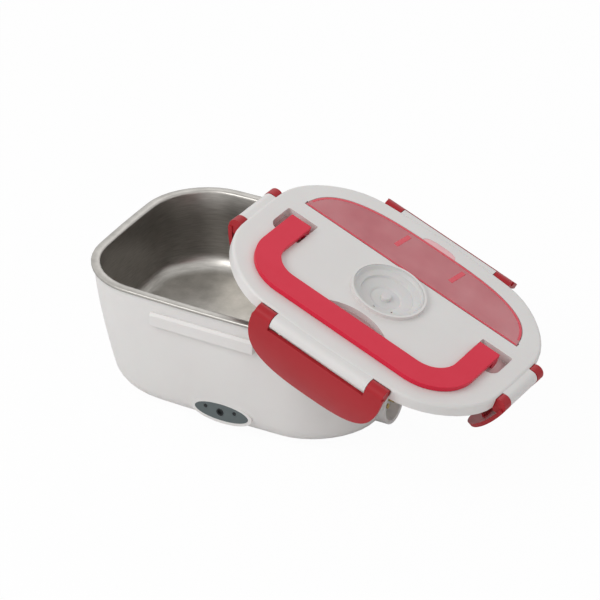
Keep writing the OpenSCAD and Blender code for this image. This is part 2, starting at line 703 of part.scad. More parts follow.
// Hinge knuckle: a round bar along the lid edge that the latch pin runs through,
// cut back underneath where the body rim comes up to it
tongue_r = axis_drop - 0.8;
tongue_root = 8;
module tongue(half) {
    difference() {
        union() {
            rod_x(tongue_r, -half, half, 0, 0, 72);
            block(-half, half, 0, tongue_root, 3.3, tongue_r);
            block(-half, half, 0, 5, -3, 3.4);
        }
        block(-half - 1, half + 1, 1.5, tongue_r + 1, -tongue_r - 1, -3);
        rod_x(latch_pin_d / 2 + pin_fixed, -half - 1, half + 1, 0, 0, 40);
    }
}
module hinge_cut(half, ear) {
    for (i = [-1, 1]) {
        x0 = i * (half + ear / 2 + 0.7) - ear / 2 - 0.8;
        x1 = x0 + ear + 1.6;
        block(x0, x1, -20, ear_r / 2, -20, axis_drop + 1);
        block(x0, x1, -20, ear_r + 0.4, -20, 0);
        rod_x(ear_r + 0.4, x0, x1, 0, 0, 64);
    }
}

handle_w = 2 * (plug_a - handle_in);
handle_y = lid_b - handle_back;
bay_a = plug_a - bay_end;
bay_b = plug_b - bay_edge - bay_y;
pocket_x0 = handle_w / 2 - arm_w - 1.5;
pocket_x1 = handle_w / 2 + 7.5;
pocket_y0 = -15 + pivot_y;
pocket_y1 = 13.2 + pivot_y;
// Pocket outline grown by g: wide curve at the outer front, small ones at the other corners
function pocket_pts(g) = concat(arc_pts(pocket_x1 - 2, pocket_y1 - 2, 2 + g, 0),
    arc_pts(pocket_x0 + 1, pocket_y1 - 1, 1 + g, 90), arc_pts(pocket_x0 + 1, pocket_y0 + 1, 1 + g, 180),
    arc_pts(pocket_x1 - 8, pocket_y0 + 8, 8 + g, 270));
module pocket(i, g, z0, z1) {
    slab([for (p = pocket_pts(g)) [i * p.x, p.y]], z0, z1);
}
pocket_floor = -7.5;
scoop_r = 41.5;
scoop_y = vent_r + 5.7;
well_floor = -8;
function bay_line(d, y0) = [for (p = superoval(bay_a - d, bay_b - d, 3, 96))
    if (p.y + bay_y > y0) [p.x, p.y + bay_y]];
function bay_pts(d, y0) = let (b = bay_b - d, x = (bay_a - d) * pow(1 - pow((y0 - bay_y) / b, 3), 1 / 3))
    concat([[x, y0]], bay_line(d, y0), [[-x, y0]]);
flap_r = flap_t;
flap_axis = bay_front + flap_t - 0.1;
flap_end = bay_a - 0.4;
stub_r = 1;
bay_wall = flap_axis + flap_r + 1;
module lid_top() {
    soft = [for (t = [0, 22.5, 45, 67.5, 90]) [lid_round * (1 - cos(t)), lid_round * (1 - sin(t))]];
    color([0.86, 0.85, 0.84]) lid_place() difference() {
        union() {
            difference() {
                loft(concat([at_z(lid_line(0), -lid_edge)],
                    [for (s = soft) at_z(lid_line(s[0]), -s[1])]));
                slab(plug_line(cavity_edge), -lid_edge - 1, -deck_t);
                at_front() hinge_cut(tongue_long, ear_long);
                at_back() hinge_cut(tongue_long, ear_long);
                at_left() hinge_cut(tongue_short, ear_short);
                at_right() hinge_cut(tongue_short, ear_short);
            }
            at_front() tongue(tongue_long);
            at_back() tongue(tongue_long);
            at_left() tongue(tongue_short);
            at_right() tongue(tongue_short);
            for (i = [-1, 1]) {
                pocket(i, 1.5, pocket_floor - 1.5, -1);
                block(i > 0 ? pocket_x0 - 9 : 1 - pocket_x0, i > 0 ? pocket_x0 - 1 : 9 - pocket_x0,
                    pivot_y - 4, pivot_y + 4, -pivot_z - 3.5, -1);
                block(i > 0 ? flap_end + 0.5 : -flap_end - 4, i > 0 ? flap_end + 4 : -flap_end - 0.5,
                    flap_axis - 3.5, flap_axis + 3.5, -5.5, -1);
            }
            slab(bay_pts(-2, flap_axis - 3.8), -flap_t - 4, -1);
            slab(bay_pts(1, flap_axis - 3.8), -bay_h - 1.5, -1);
            slab([for (p = superoval(18, 10, 3, 48)) p + [0, bay_y + bay_b - 1.5]], -5.5, -1);
            rod_z(vent_r, 0, 0, well_floor - 1.5, vent_up, 96);
            intersection() {
                rod_z(scoop_r + 1.5, 0, -scoop_y - scoop_r, -6, -1, 96);
                block(-42, 42, -handle_y + 6, -vent_r + 2, -7, 0);
            }
        }
        for (i = [-1, 1]) {
            pocket(i, 0, pocket_floor, 2);
            rod_x(handle_pin_d / 2 + pin_fixed, i > 0 ? pin_x0 : -pocket_x0 - 1, i > 0 ? pocket_x0 + 1
                : -pin_x0, pivot_y, -pivot_z, 40);
            rod_x(stub_r + 0.05, i > 0 ? flap_end - 1 : -flap_end - 3, i > 0 ? flap_end + 3 : 1 - flap_end,
                flap_axis, -flap_t, 32);
        }
        slab(bay_pts(-0.4, bay_front - 0.4), -flap_t - seat, 1);
        rod_x(flap_r + 1, -bay_a - 0.4, bay_a + 0.4, flap_axis, -flap_t, 48);
        slab(bay_pts(2.5, bay_wall), -bay_h, 1);
        slab([for (p = superoval(15, 8, 3, 48)) p + [0, bay_y + bay_b - 2.2]], -3.6, 1);
        rod_z(vent_r - vent_ring, 0, 0, well_floor, vent_up + 1, 96);
        rod_z(stem_r + 0.3, 0, 0, -12, 2, 64);
        intersection() {
            rod_z(scoop_r, 0, -scoop_y - scoop_r, -4.5, 2, 96);
            block(-40, 40, -handle_y + 8, -vent_r, -7, 3);
        }
    }
}
pin_x0 = pocket_x0 - 7.5;
pin_x1 = pocket_x0 + 12.5;

inner_post_x = 52;
inner_post_back = 16;
inner_post_front = 11 - handle_y;
module lid_inner() {
    z0 = -lid_under;
    z1 = z0 + inner_t;
    color([0.84, 0.83, 0.82]) lid_place() difference() {
        union() {
            difference() {
                slab(plug_line(inner_edge), z0, -7);
                slab(plug_line(inner_edge + 2), z1, -6);
            }
            for (i = [-1, 1], y = [inner_post_front, inner_post_back])
                rod_z(3, i * inner_post_x, y, z1 - 1, -deck_t, 32);
        }
        rod_z(stem_r + 0.3, 0, 0, z0 - 1, z1 + 1, 64);
    }
}
module lid_gasket() {
    color([0.75, 0.74, 0.72]) lid_place() difference() {
        slab(plug_line(0.2), -lid_edge - gasket_h, -lid_edge);
        slab(plug_line(inner_edge), -lid_edge - gasket_h - 1, -lid_edge + 1);
    }
}
module handle_pins() {
    color("silver") lid_place() for (i = [-1, 1])
        rod_x(handle_pin_d / 2, i > 0 ? pin_x0 : -pin_x1, i > 0 ? pin_x1 : -pin_x0, pivot_y, -pivot_z, 40);
}
module latch_pin(half, ear) {
    rod_x(latch_pin_d / 2, -half - ear + 1, half + ear - 1, 0, 0, 40);
}
module long_latch_pins() {
    color("silver") lid_place() {
        at_front() latch_pin(tongue_long, ear_long);
        at_back() latch_pin(tongue_long, ear_long);
    }
}
module short_latch_pins() {
    color("silver") lid_place() {
        at_left() latch_pin(tongue_short, ear_short);
        at_right() latch_pin(tongue_short, ear_short);
    }
}

module u_block(hw, y0, y1, r, z0, z1) {
    block(-hw, hw, y0 + r, y1, z0, z1);
    block(r - hw, hw - r, y0, y0 + r + eps, z0, z1);
    for (i = [-1, 1]) rod_z(r, i * (hw - r), y0 + r, z0, z1, 96);
}
module carry_handle() {
    z0 = 0.25;
    z1 = z0 + handle_t;
    hw = handle_w / 2;
    color([0.75, 0.12, 0.2]) lid_place() difference() {
        union() {
            difference() {
                u_block(hw, -handle_y, pivot_y + 4, handle_r, z0, z1);
                u_block(hw - arm_w, bar_w - handle_y, pivot_y + 5, handle_ri, z0 - 1, z1 + 1);
            }
            for (i = [-1, 1]) rod_x(4.2, i > 0 ? hw - arm_w : -hw, i > 0 ? hw : arm_w - hw, pivot_y,
                -pivot_z, 48);
        }
        for (i = [-1, 1]) rod_x(handle_pin_d / 2 + pin_run, i > 0 ? hw - arm_w - 1 : -pin_x1 - 0.5,
            i > 0 ? pin_x1 + 0.5 : arm_w + 1 - hw, pivot_y, -pivot_z, 40);
    }
}

// Latch: axis along X at the origin, outside towards -Y, hanging down
latch_top = 6;
module latch(half, ear, rib) {
    reach = half + 0.5 + ear;
    face = reach + 1;
    difference() {
        union() {
            // curved plate inside its rounded outline
            intersection() {
                difference() {
                    rod_x(latch_curve, -face - 1, face + 1, latch_curve - ear_r, 0, 180);
                    rod_x(latch_curve - latch_t, -face - 2, face + 2, latch_curve - ear_r, 0, 180);
                    block(-half - 0.4, half + 0.4, -20, 0, -latch_top, 8);
                }
                rotate([90, 0, 0]) linear_extrude(height = 60, center = true) polygon(concat([[face, 0]],
                    [for (i = [1:47]) let (t = 180 * i / 48) [face * sign(cos(t)) * pow(abs(cos(t)),
                    2 / latch_power), -latch_h * pow(sin(t), 2 / latch_power)]], [[-face, 0]]));
            }
            for (i = [-1, 1]) rod_x(ear_r, i > 0 ? half + 0.5 : -reach, i > 0 ? reach : -half - 0.5, 0,
                0, 64);
            // hook rib that catches under the ledge of the body
            rotate([90, 0, 90]) translate([0, 0, -0.5 * face]) linear_extrude(height = face)
                polygon([[-plate_in(hook_d) - 1, -hook_d], [rib - plate_in(hook_d), -hook_d],
                [rib - plate_in(hook_d), -hook_d - 1.2], [-plate_in(hook_d + hook_t) - 1,
                -hook_d - hook_t]]);
        }
        rod_x(latch_pin_d / 2 + pin_run, -half - ear + 0.5, half + ear - 0.5, 0, 0, 40);
    }
}
rib_long = lid_b + axis_out_long - ledge_y + 1.6;
rib_short = lid_a + axis_out_short - ledge_x + 1.4;
latch_red = [0.72, 0.1, 0.16];
module front_latch() { color(latch_red) lid_place() at_front() latch(tongue_long, ear_long, rib_long); }
module back_latch() {
    color(latch_red) lid_place() at_back() rotate([-back_open, 0, 0])
        latch(tongue_long, ear_long, rib_long);
}
module left_latch() {
    color(latch_red) lid_place() at_left() rotate([latch_in, 0, 0])
        latch(tongue_short, ear_short, rib_short);
}
module right_latch() {
    color(latch_red) lid_place() at_right() rotate([latch_in, 0, 0])
        latch(tongue_short, ear_short, rib_short);
}

module spoon_cover() {
    color([0.8, 0.4, 0.45]) lid_place() union() {
        difference() {
            slab(bay_pts(0, bay_front), -flap_t, 0);
            block(-bay_a, bay_a, bay_front - 1, flap_axis, -flap_t - 1, -flap_t + 0.1);
            for (i = [-1, 1]) block(i > 0 ? flap_end : -bay_a - 1, i > 0 ? bay_a + 1 : -flap_end,
                bay_front - 1, flap_axis + 4, -flap_t - 1, 1);
        }
        rod_x(flap_r, -flap_end, flap_end, flap_axis, -flap_t, 48);
        rod_x(stub_r, -flap_end - 2, flap_end + 2, flap_axis, -flap_t, 32);
        for (x = [-24, 26]) block(x - 1, x + 1, bay_y + 30, bay_y + bay_b - 6, -flap_t - 1.8, -flap_t + 0.5);
    }
}

// Spoon: bowl cut from a hollow ball, flat handle running from its rim
spoon_l = 2 * bay_a - spoon_less;
bowl_w = bay_y + bay_b - 2.5 - bay_wall - bowl_gap;
bowl_x = bay_a - bowl_l / 2 - 19.5;
bowl_y = bay_wall + bowl_w / 2 + 1;
ball_r = 40;
bowl_z = -bay_h + seat;
module spoon() {
    rise = ball_r - sqrt(ball_r * ball_r - pow(bowl_l / 2 - 2, 2));
    x0 = bowl_x - bowl_l / 2 + 2;
    x1 = bowl_x + bowl_l / 2 - spoon_l;
    color([0.7, 0.7, 0.7]) lid_place() translate([0, bowl_y, bowl_z]) union() {
        intersection() {
            translate([bowl_x, 0, ball_r]) difference() {
                sphere(r = ball_r, $fn = 96);
                sphere(r = ball_r - spoon_t, $fn = 96);
            }
            translate([bowl_x, 0, -1]) linear_extrude(height = 9) polygon([for (i = [0:47])
                let (t = 7.5 * i) [bowl_l / 2 * cos(t), bowl_w / 2 * sin(t)]]);
        }
        slab([[x0 + 1, 4], [x0 - 12, 3.2], [x1 + 20, 6], [x1 + 4, 6.4], [x1, 3.5], [x1, -3.5],
            [x1 + 4, -6.4], [x1 + 20, -6], [x0 - 12, -3.2], [x0 + 1, -4]], rise, rise + spoon_t);
    }
}

// Vent stopper: stepped bowl with a raised rim, a nub in the middle and two steam holes
vent_holes = [-92, -43];
module vent_plug() {
    r = vent_r - vent_ring - 0.4;
    z0 = well_floor + seat;
    top = vent_up - 0.8;
    color([0.85, 0.83, 0.82]) lid_place() difference() {
        rotate_extrude($fn = 96) polygon([[0, z0 + 4.5], [3.2, z0 + 4.5], [3.9, z0 + 3.8],
            [4.2, z0 + 1.5], [11, z0 + 1.5], [13, z0 + 2.9], [r - 7, z0 + 4.3], [r - 6.2, z0 + 6.2],
            [r - 2.2, z0 + 7.6], [r - 0.9, top], [r, top], [r, z0 + 6.2], [r - 5, z0 + 4.6],
            [r - 6, z0 + 2.6], [13, z0 + 1], [11, z0], [stem_r, z0], [stem_r, -lid_under + 0.6],
            [0, -lid_under + 0.6]]);
        for (t = vent_holes) rod_z(0.9, 16.5 * cos(t), 16.5 * sin(t), z0 - 2, z0 + 9, 24);
    }
}

outer_shell();
base_cover();
rubber_feet();
base_screws();
inner_liner();
heating_plate();
plate_screws();
ptc_heater();
heater_clamp();
clamp_screws();
thermostat();
thermal_fuse();
power_socket();
contact_pins();
inner_leads();
indicator_panel();
indicator_lights();
light_board();
steel_tray();
lid_top();
lid_inner();
lid_gasket();
handle_pins();
long_latch_pins();
short_latch_pins();
carry_handle();
front_latch();
back_latch();
left_latch();
right_latch();
spoon_cover();
spoon();
vent_plug();
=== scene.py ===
import json
import math

import bmesh
import bpy
from mathutils import Matrix, Vector


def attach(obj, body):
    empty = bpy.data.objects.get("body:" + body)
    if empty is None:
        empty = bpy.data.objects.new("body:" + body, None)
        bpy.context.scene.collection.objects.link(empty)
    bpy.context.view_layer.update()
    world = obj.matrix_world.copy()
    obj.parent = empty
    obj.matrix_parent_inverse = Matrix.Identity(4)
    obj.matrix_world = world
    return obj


# Electric lunch box: camera, materials, thin trim of the lid, floor and lights around the CAD
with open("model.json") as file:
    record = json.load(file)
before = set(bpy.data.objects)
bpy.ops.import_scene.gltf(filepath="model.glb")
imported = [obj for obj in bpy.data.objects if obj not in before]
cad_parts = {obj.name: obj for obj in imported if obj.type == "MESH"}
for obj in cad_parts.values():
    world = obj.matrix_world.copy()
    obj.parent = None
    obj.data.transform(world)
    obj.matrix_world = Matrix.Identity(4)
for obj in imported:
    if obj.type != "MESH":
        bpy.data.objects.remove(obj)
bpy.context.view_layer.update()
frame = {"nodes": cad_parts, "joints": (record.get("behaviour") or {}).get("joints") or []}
scene = bpy.context.scene
MM_PER_M = 1000


# ---------------------------------------------------------------- camera
# From a fit to the photograph's outlines: the angles in degrees, the lengths in millimetres
AZIMUTH, ELEVATION, ROLL = math.radians(29.53), math.radians(31.03), math.radians(-0.46)
DISTANCE, MOVE_RIGHT, MOVE_UP = 3005.15, 30.86, 65.11
FOCAL_PX, PHOTO_PX, SENSOR_MM = 3920.48, 600, 36
CLIP = (0.05, 60)  # metres

look = Vector((-math.sin(AZIMUTH) * math.cos(ELEVATION), math.cos(AZIMUTH) * math.cos(ELEVATION),
               -math.sin(ELEVATION)))
level_right = Vector((math.cos(AZIMUTH), math.sin(AZIMUTH), 0))
level_up = level_right.cross(look)
right = math.cos(ROLL) * level_right + math.sin(ROLL) * level_up
up = math.cos(ROLL) * level_up - math.sin(ROLL) * level_right
cam_place = (right * MOVE_RIGHT + up * MOVE_UP - look * DISTANCE) / MM_PER_M

cam_data = bpy.data.cameras.new("camera")
cam_data.sensor_width = SENSOR_MM
cam_data.lens = FOCAL_PX / PHOTO_PX * SENSOR_MM
cam_data.clip_start, cam_data.clip_end = CLIP
cam = bpy.data.objects.new("camera", cam_data)
cam.matrix_world = (Matrix.Translation(cam_place)
                    @ Matrix((right, up, -look)).transposed().to_4x4())
scene.collection.objects.link(cam)
scene.camera = cam


# ---------------------------------------------------------------- tools for materials
def tone(*srgb):
    """sRGB 0-255 to linear 0-1."""
    return tuple(c / 12.92 if c <= 0.04045 else ((c + 0.055) / 1.055) ** 2.4
                 for c in (v / 255 for v in srgb))


def fill(n, values):
    """Each value goes to the node's socket of that name, or else to the node's own setting."""
    for key, value in values.items():
        socket = key.replace("_", " ")
        if socket in n.inputs:
            n.inputs[socket].default_value = value
        else:
            setattr(n, key, value)


def node(tree, kind, **values):
    n = tree.nodes.new(kind)
    fill(n, values)
    return n


def coords(tree, stretch):
    """The object's own coordinates in metres, scaled along x, y and z."""
    place = node(tree, "ShaderNodeTexCoord")
    scaled = node(tree, "ShaderNodeMapping", Scale=stretch)
    tree.links.new(place.outputs["Object"], scaled.inputs["Vector"])
    return scaled.outputs["Vector"]


def noise(tree, vector, scale, detail, rough=0.55):
    n = node(tree, "ShaderNodeTexNoise", Scale=scale, Detail=detail, Roughness=rough)
    tree.links.new(vector, n.inputs["Vector"])
    return n.outputs["Fac"]


def ramp(tree, fac, shades, low, high):
    """Colour that runs through the shades as fac goes from low to high."""
    r = node(tree, "ShaderNodeValToRGB")
    stops = r.color_ramp.elements
    while len(stops) < len(shades):
        stops.new(0.5)
    for i, shade in enumerate(shades):
        stops[i].position = low + (high - low) * i / (len(shades) - 1)
        stops[i].color = (*shade, 1)
    tree.links.new(fac, r.inputs["Fac"])
    return r.outputs["Color"]


def new_material(name, **values):
    """New material, its node tree and its Principled shader, with the shader's sockets filled."""
    m = bpy.data.materials.new(name)
    m.use_nodes = True
    shader = m.node_tree.nodes["Principled BSDF"]
    fill(shader, values)
    return m, m.node_tree, shader


def wire(tree, shader, color, gloss, rough, height, bump, depth):
    """Links the colour, a roughness that follows gloss between two values, and the bump."""
    spread = node(tree, "ShaderNodeMapRange", To_Min=rough[0], To_Max=rough[1])
    relief = node(tree, "ShaderNodeBump", Strength=bump, Distance=depth)
    tree.links.new(color, shader.inputs["Base Color"])
    tree.links.new(gloss, spread.inputs["Value"])
    tree.links.new(spread.outputs["Result"], shader.inputs["Roughness"])
    tree.links.new(height, relief.inputs["Height"])
    tree.links.new(relief.outputs["Normal"], shader.inputs["Normal"])


# ---------------------------------------------------------------- materials
# Noise scales are per metre, depths of relief in metres
CLOUD_SCALE, GLOSS_SCALE, GRAIN_DEPTH = 22.0, 140.0, 0.0004
STREAK_BUMP, STREAK_DEPTH, ANISOTROPY = 0.06, 0.0002, 0.4


def moulded(name, shades, rough, grain, bump, **values):
    """Moulded look: cloudy colour between shades, uneven gloss and a fine surface grain."""
    m, t, shader = new_material(name, **values)
    v = coords(t, (1, 1, 1))
    color = ramp(t, noise(t, v, CLOUD_SCALE, detail=3.0), shades, low=0.25, high=0.75)
    gloss = noise(t, v, GLOSS_SCALE, detail=5.0)
    height = noise(t, v, grain, detail=3.0, rough=0.6)
    wire(t, shader, color, gloss, rough, height, bump, GRAIN_DEPTH)
    return m


def brushed(name, shades, rough, stretch, scale):
    """Metal whose colour, gloss and relief vary in streaks across the stretched axis."""
    m, t, shader = new_material(name, Metallic=1.0, Anisotropic=ANISOTROPY)
    streak = noise(t, coords(t, stretch), scale, detail=6.0, rough=0.6)
    color = ramp(t, streak, shades, low=0.3, high=0.7)
    wire(t, shader, color, streak, rough, streak, STREAK_BUMP, STREAK_DEPTH)
    return m


WHITE = moulded("white_plastic", [tone(224, 221, 219), tone(228, 226, 224)], (0.34, 0.42), 700,
                0.03, Specular_IOR_Level=0.4, Subsurface_Weight=0.04, Subsurface_Scale=0.002)
INNER = moulded("inner_plastic", [tone(214, 211, 208), tone(220, 218, 215)], (0.45, 0.55), 1100,
                0.06)
RED = moulded("red_plastic", [tone(215, 32, 60), tone(221, 40, 68)], (0.3, 0.4), 800, 0.03,
              Specular_IOR_Level=0.25)
# The handle's red made darker for the four latches: painted shade on their front faces
RED_WITH_PAINTED_SHADE = moulded("latch_red", [tone(168, 32, 40), tone(176, 40, 48)], (0.34, 0.44), 800, 0.04,
                   Specular_IOR_Level=0.25)
PANEL = moulded("panel_grey", [tone(88, 97, 98), tone(98, 107, 108)], (0.28, 0.36), 900, 0.03,
                Specular_IOR_Level=0.3)
LENS = moulded("light_lens", [tone(30, 33, 35), tone(40, 43, 45)], (0.3, 0.4), 900, 0.02,
               Specular_IOR_Level=0.3)
BLACK = moulded("black_plastic", [tone(34, 34, 35), tone(44, 44, 45)], (0.4, 0.5), 1300, 0.08)
RUBBER = moulded("foot_rubber", [tone(46, 46, 47), tone(60, 60, 60)], (0.65, 0.8), 1500, 0.15)
BOARD = moulded("board_green", [tone(36, 96, 62), tone(46, 112, 72)], (0.35, 0.5), 900, 0.05)
LEADS = moulded("lead_cover", [tone(180, 52, 44), tone(196, 62, 52)], (0.45, 0.6), 900, 0.05)
SILICONE = moulded("silicone", [tone(222, 219, 217), tone(231, 229, 228)], (0.3, 0.42), 500,
                   0.05, Transmission_Weight=0.12, IOR=1.41, Subsurface_Weight=0.15,
                   Subsurface_Scale=0.003)
# The cover's cloud runs up to much lighter pinks: its own red tint with painted mottled glare
CLEAR = moulded("clear_red", [tone(214, 126, 134), tone(224, 145, 151), tone(232, 162, 167)],
                (0.26, 0.4), 400, 0.02, Transmission_Weight=0.32, IOR=1.25,
                Specular_IOR_Level=0.4)
RIM_RED = moulded("cover_rim_red", [tone(212, 48, 68), tone(218, 58, 78)], (0.2, 0.3), 500, 0.02)
# Lighter pink of the cover's lip: the cover's tint with painted glare on it
PINK_WITH_PAINTED_GLARE = moulded("cover_lip_pink_painted_glare", [tone(232, 176, 180), tone(240, 190, 194)], (0.3, 0.4), 500,
               0.02)
# Painted pink reflection of the red handle, laid on the pocket and scoop floors
HANDLE_REFLECTION_PAINT = moulded("white_with_painted_red_reflection", [tone(230, 188, 190), tone(237, 202, 202)], (0.4, 0.5), 700,
                 0.03)

STEEL = brushed("steel", [tone(160, 157, 152), tone(186, 183, 178)], (0.3, 0.42), (1, 1, 14),
                90.0)
PINS = brushed("pin_steel", [tone(170, 170, 170), tone(196, 196, 196)], (0.2, 0.3), (12, 1, 1),
               300.0)
PLATE = brushed("plate_metal", [tone(168, 168, 170), tone(196, 196, 198)], (0.3, 0.42),
                (18, 1, 1), 90.0)
GOLD = brushed("heater_gold", [tone(186, 158, 88), tone(208, 182, 108)], (0.35, 0.5), (1, 12, 1),
               120.0)
BRASS = brushed("contact_brass", [tone(196, 168, 96), tone(220, 194, 120)], (0.18, 0.28),
                (16, 1, 1), 200.0)


# ---------------------------------------------------------------- CAD nodes
LOOK = {
    "outer_shell": WHITE, "lid_top": WHITE, "carry_handle": RED, "front_latch": RED_WITH_PAINTED_SHADE,
    "back_latch": RED_WITH_PAINTED_SHADE, "left_latch": RED_WITH_PAINTED_SHADE, "right_latch": RED_WITH_PAINTED_SHADE,
    "spoon_cover": CLEAR, "vent_plug": SILICONE, "lid_gasket": SILICONE, "spoon": STEEL,
    "steel_tray": STEEL, "indicator_panel": PANEL, "indicator_lights": LENS,
    "rubber_feet": RUBBER, "base_cover": INNER, "inner_liner": INNER, "lid_inner": INNER,
    "base_screws": PINS, "plate_screws": PINS, "clamp_screws": PINS, "handle_pins": PINS,
    "long_latch_pins": PINS, "short_latch_pins": PINS, "heating_plate": PLATE,
    "heater_clamp": PLATE, "ptc_heater": GOLD, "thermostat": BLACK, "thermal_fuse": INNER,
    "power_socket": BLACK, "contact_pins": BRASS, "inner_leads": LEADS, "light_board": BOARD,
}

# Width in metres by which edges are rounded. A node that isn't named here gets FINE_EDGE, and
# the tray gets none, because its form is round all over.
EDGES = {
    "carry_handle": 0.0018, "front_latch": 0.001, "back_latch": 0.001, "left_latch": 0.001,
    "right_latch": 0.001, "lid_top": 0.0006, "rubber_feet": 0.0005, "lid_inner": 0.0005,
    "outer_shell": 0.0004, "spoon_cover": 0.0003, "indicator_panel": 0.0003,
    "base_cover": 0.0003, "inner_liner": 0.0003, "vent_plug": 0.0002, "spoon": 0.0002,
}
FINE_EDGE = 0.0001
JOIN_GAP, PIECE_JOIN_GAP = 1e-5, 1e-6  # metres within which points are joined
FLAT_ANGLE = 0.5  # degrees within which neighbouring faces count as one
NODE_EDGE_ANGLE, NODE_FACE_WEIGHT = 28, 90
PIECE_EDGE_ANGLE, PIECE_FACE_WEIGHT, PIECE_SEGMENTS = 30, 50, 3


def join(obj):
    obj.modifiers.new("join", "WELD").merge_threshold = JOIN_GAP


def flatten(obj):
    """Makes one face of the triangles of a flat side, so that only real edges get rounded."""
    m = obj.modifiers.new("flat", "DECIMATE")
    m.decimate_type = "DISSOLVE"
    m.angle_limit = math.radians(FLAT_ANGLE)


def round_edges(obj, width, segments, angle, weight):
    """Rounds the edges sharper than angle in degrees, and shades large faces as flat."""
    m = obj.modifiers.new("edge", "BEVEL")
    m.width, m.segments = width, segments
    m.limit_method, m.angle_limit = "ANGLE", math.radians(angle)
    m = obj.modifiers.new("shade", "WEIGHTED_NORMAL")
    m.keep_sharp, m.weight = True, weight


for name, obj in frame["nodes"].items():
    obj.data.materials.clear()
    obj.data.materials.append(LOOK[name])
    for poly in obj.data.polygons:
        poly.use_smooth = True
    join(obj)
    if name != "steel_tray":
        flatten(obj)
        round_edges(obj, EDGES.get(name, FINE_EDGE), 2 if name in EDGES else 1,
                    NODE_EDGE_ANGLE, NODE_FACE_WEIGHT)


# ---------------------------------------------------------------- tools for the lid's trim
# The lid's own frame, found from the joints: x points right along the handle's pins, z the way
# the vent plug lifts. The pins lie PIVOT_Y behind the frame's origin and PIVOT_DROP below it.
PIVOT_Y, PIVOT_DROP = 0.004, 0.0025  # metres
joints = {j["name"]: j for j in frame["joints"]}
lid_x = -Vector(joints["handle_pivot"]["axis"])
lid_z = Vector(joints["vent_lift"]["axis"])
lid_y = lid_z.cross(lid_x)
LID = Matrix((lid_x, lid_y, lid_z)).transposed().to_4x4()
LID.translation = Vector(joints["handle_pivot"]["pos_m"]) - lid_y * PIVOT_Y + lid_z * PIVOT_DROP


def piece(name, verts, faces, mat, body, slot, bevel=0.0):
    """New piece on a body, from a mesh in millimetres in the lid's frame."""
    mesh = bpy.data.meshes.new(name)
    mesh.from_pydata([LID @ (Vector(v) / MM_PER_M) for v in verts], [], faces)
    bm = bmesh.new()
    bm.from_mesh(mesh)
    bmesh.ops.remove_doubles(bm, verts=bm.verts, dist=PIECE_JOIN_GAP)
    bmesh.ops.recalc_face_normals(bm, faces=bm.faces)
    bm.to_mesh(mesh)
    bm.free()
    mesh.materials.append(mat)
    for poly in mesh.polygons:
        poly.use_smooth = True
    obj = bpy.data.objects.new(name, mesh)
    scene.collection.objects.link(obj)
    if bevel:
        round_edges(obj, bevel / MM_PER_M, PIECE_SEGMENTS, PIECE_EDGE_ANGLE, PIECE_FACE_WEIGHT)
    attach(obj, body)


def prism(name, outline, z0, z1, *rest, **more):
    """Upright piece over an outline of x, y points."""
    n = len(outline)
    verts = [(x, y, z) for z in (z0, z1) for x, y in outline]
    faces = [tuple(range(n - 1, -1, -1)), tuple(range(n, 2 * n))]
    faces += [(i, (i + 1) % n, n + (i + 1) % n, n + i) for i in range(n)]
    piece(name, verts, faces, *rest, **more)


def strip(name, path, half, z0, z1, *rest, **more):
    """Low bar of width 2 * half along a path of x, y points."""
    left_side, right_side = [], []
    for i, (x, y) in enumerate(path):
        before, after = path[max(0, i - 1)], path[min(len(path) - 1, i + 1)]
        t = Vector((after[0] - before[0], after[1] - before[1])).normalized()
        left_side.append((x - t.y * half, y + t.x * half))
        right_side.append((x + t.y * half, y - t.x * half))
    prism(name, left_side + right_side[::-1], z0, z1, *rest, **more)


def circle(r, steps, y=0.0):
    turns = (2 * math.pi * i / steps for i in range(steps))
    return [(r * math.cos(t), y + r * math.sin(t)) for t in turns]


def ring(name, r0, r1, z0, z1, steps, *rest, **more):
    """Ring with a four-sided section about the frame's z axis."""
    inner, outer = circle(r0, steps), circle(r1, steps)
    loops = ((z0, inner), (z0, outer), (z1, outer), (z1, inner))
    verts = [(x, y, z) for z, loop in loops for x, y in loop]
    faces = []
    for k in range(4):
        this, other = k * steps, (k + 1) % 4 * steps
        for i in range(steps):
            j = (i + 1) % steps
            faces.append((this + i, this + j, other + j, other + i))
    piece(name, verts, faces, *rest, **more)


def corner(x, y, r, start, steps=12):
    """Quarter circle about x, y, from an angle in degrees."""
    turns = [math.radians(start + 90 * i / steps) for i in range(steps + 1)]
    return [(x + r * math.cos(t), y + r * math.sin(t)) for t in turns]


def rounded(x0, x1, y0, y1, radii):
    """Rectangle with four corner radii: right back, left back, left front, right front."""
    rb, lb, lf, rf = radii
    return (corner(x1 - rb, y1 - rb, rb, 0) + corner(x0 + lb, y1 - lb, lb, 90)
            + corner(x0 + lf, y0 + lf, lf, 180) + corner(x1 - rf, y0 + rf, rf, 270))


OVAL = 2 / 3  # power that gives the lid's ovals, where |x / a| ** 3 + |y / b| ** 3 = 1


def oval_point(a, b, y, t):
    """Point of an oval of half sizes a and b about 0, y, as t goes round from 0 to 2 pi."""
    c, s = math.cos(t), math.sin(t)
    return a * math.copysign(abs(c) ** OVAL, c), y + b * math.copysign(abs(s) ** OVAL, s)


def behind(outline, y):
    """The points of an outline behind y, from right to left."""
    return sorted((p for p in outline if p[1] > y), key=lambda p: -p[0])


# ---------------------------------------------------------------- trim of the lid
# Millimetres in the lid's frame, as in part.scad: x to the right, y to the back, z up from the
# lid's top face. Each pair is a body and a material slot.
ON_COVER, ON_LID, ON_PLUG = ("cover", "clear_red"), ("lid", "white_plastic"), ("plug", "silicone")
BAY_A, BAY_B, BAY_Y = 97, 53, 20  # oval of the spoon bay: half sizes, and the y of its middle


def bay_edge(inset, y0, steps=90):
    """Line inside the spoon bay's oval and behind y0, from right to left."""
    a, b = BAY_A - inset, BAY_B - inset
    start = math.asin(((y0 - BAY_Y) / b) ** (1 / OVAL))
    return [oval_point(a, b, BAY_Y, start + (math.pi - 2 * start) * i / steps)
            for i in range(steps + 1)]


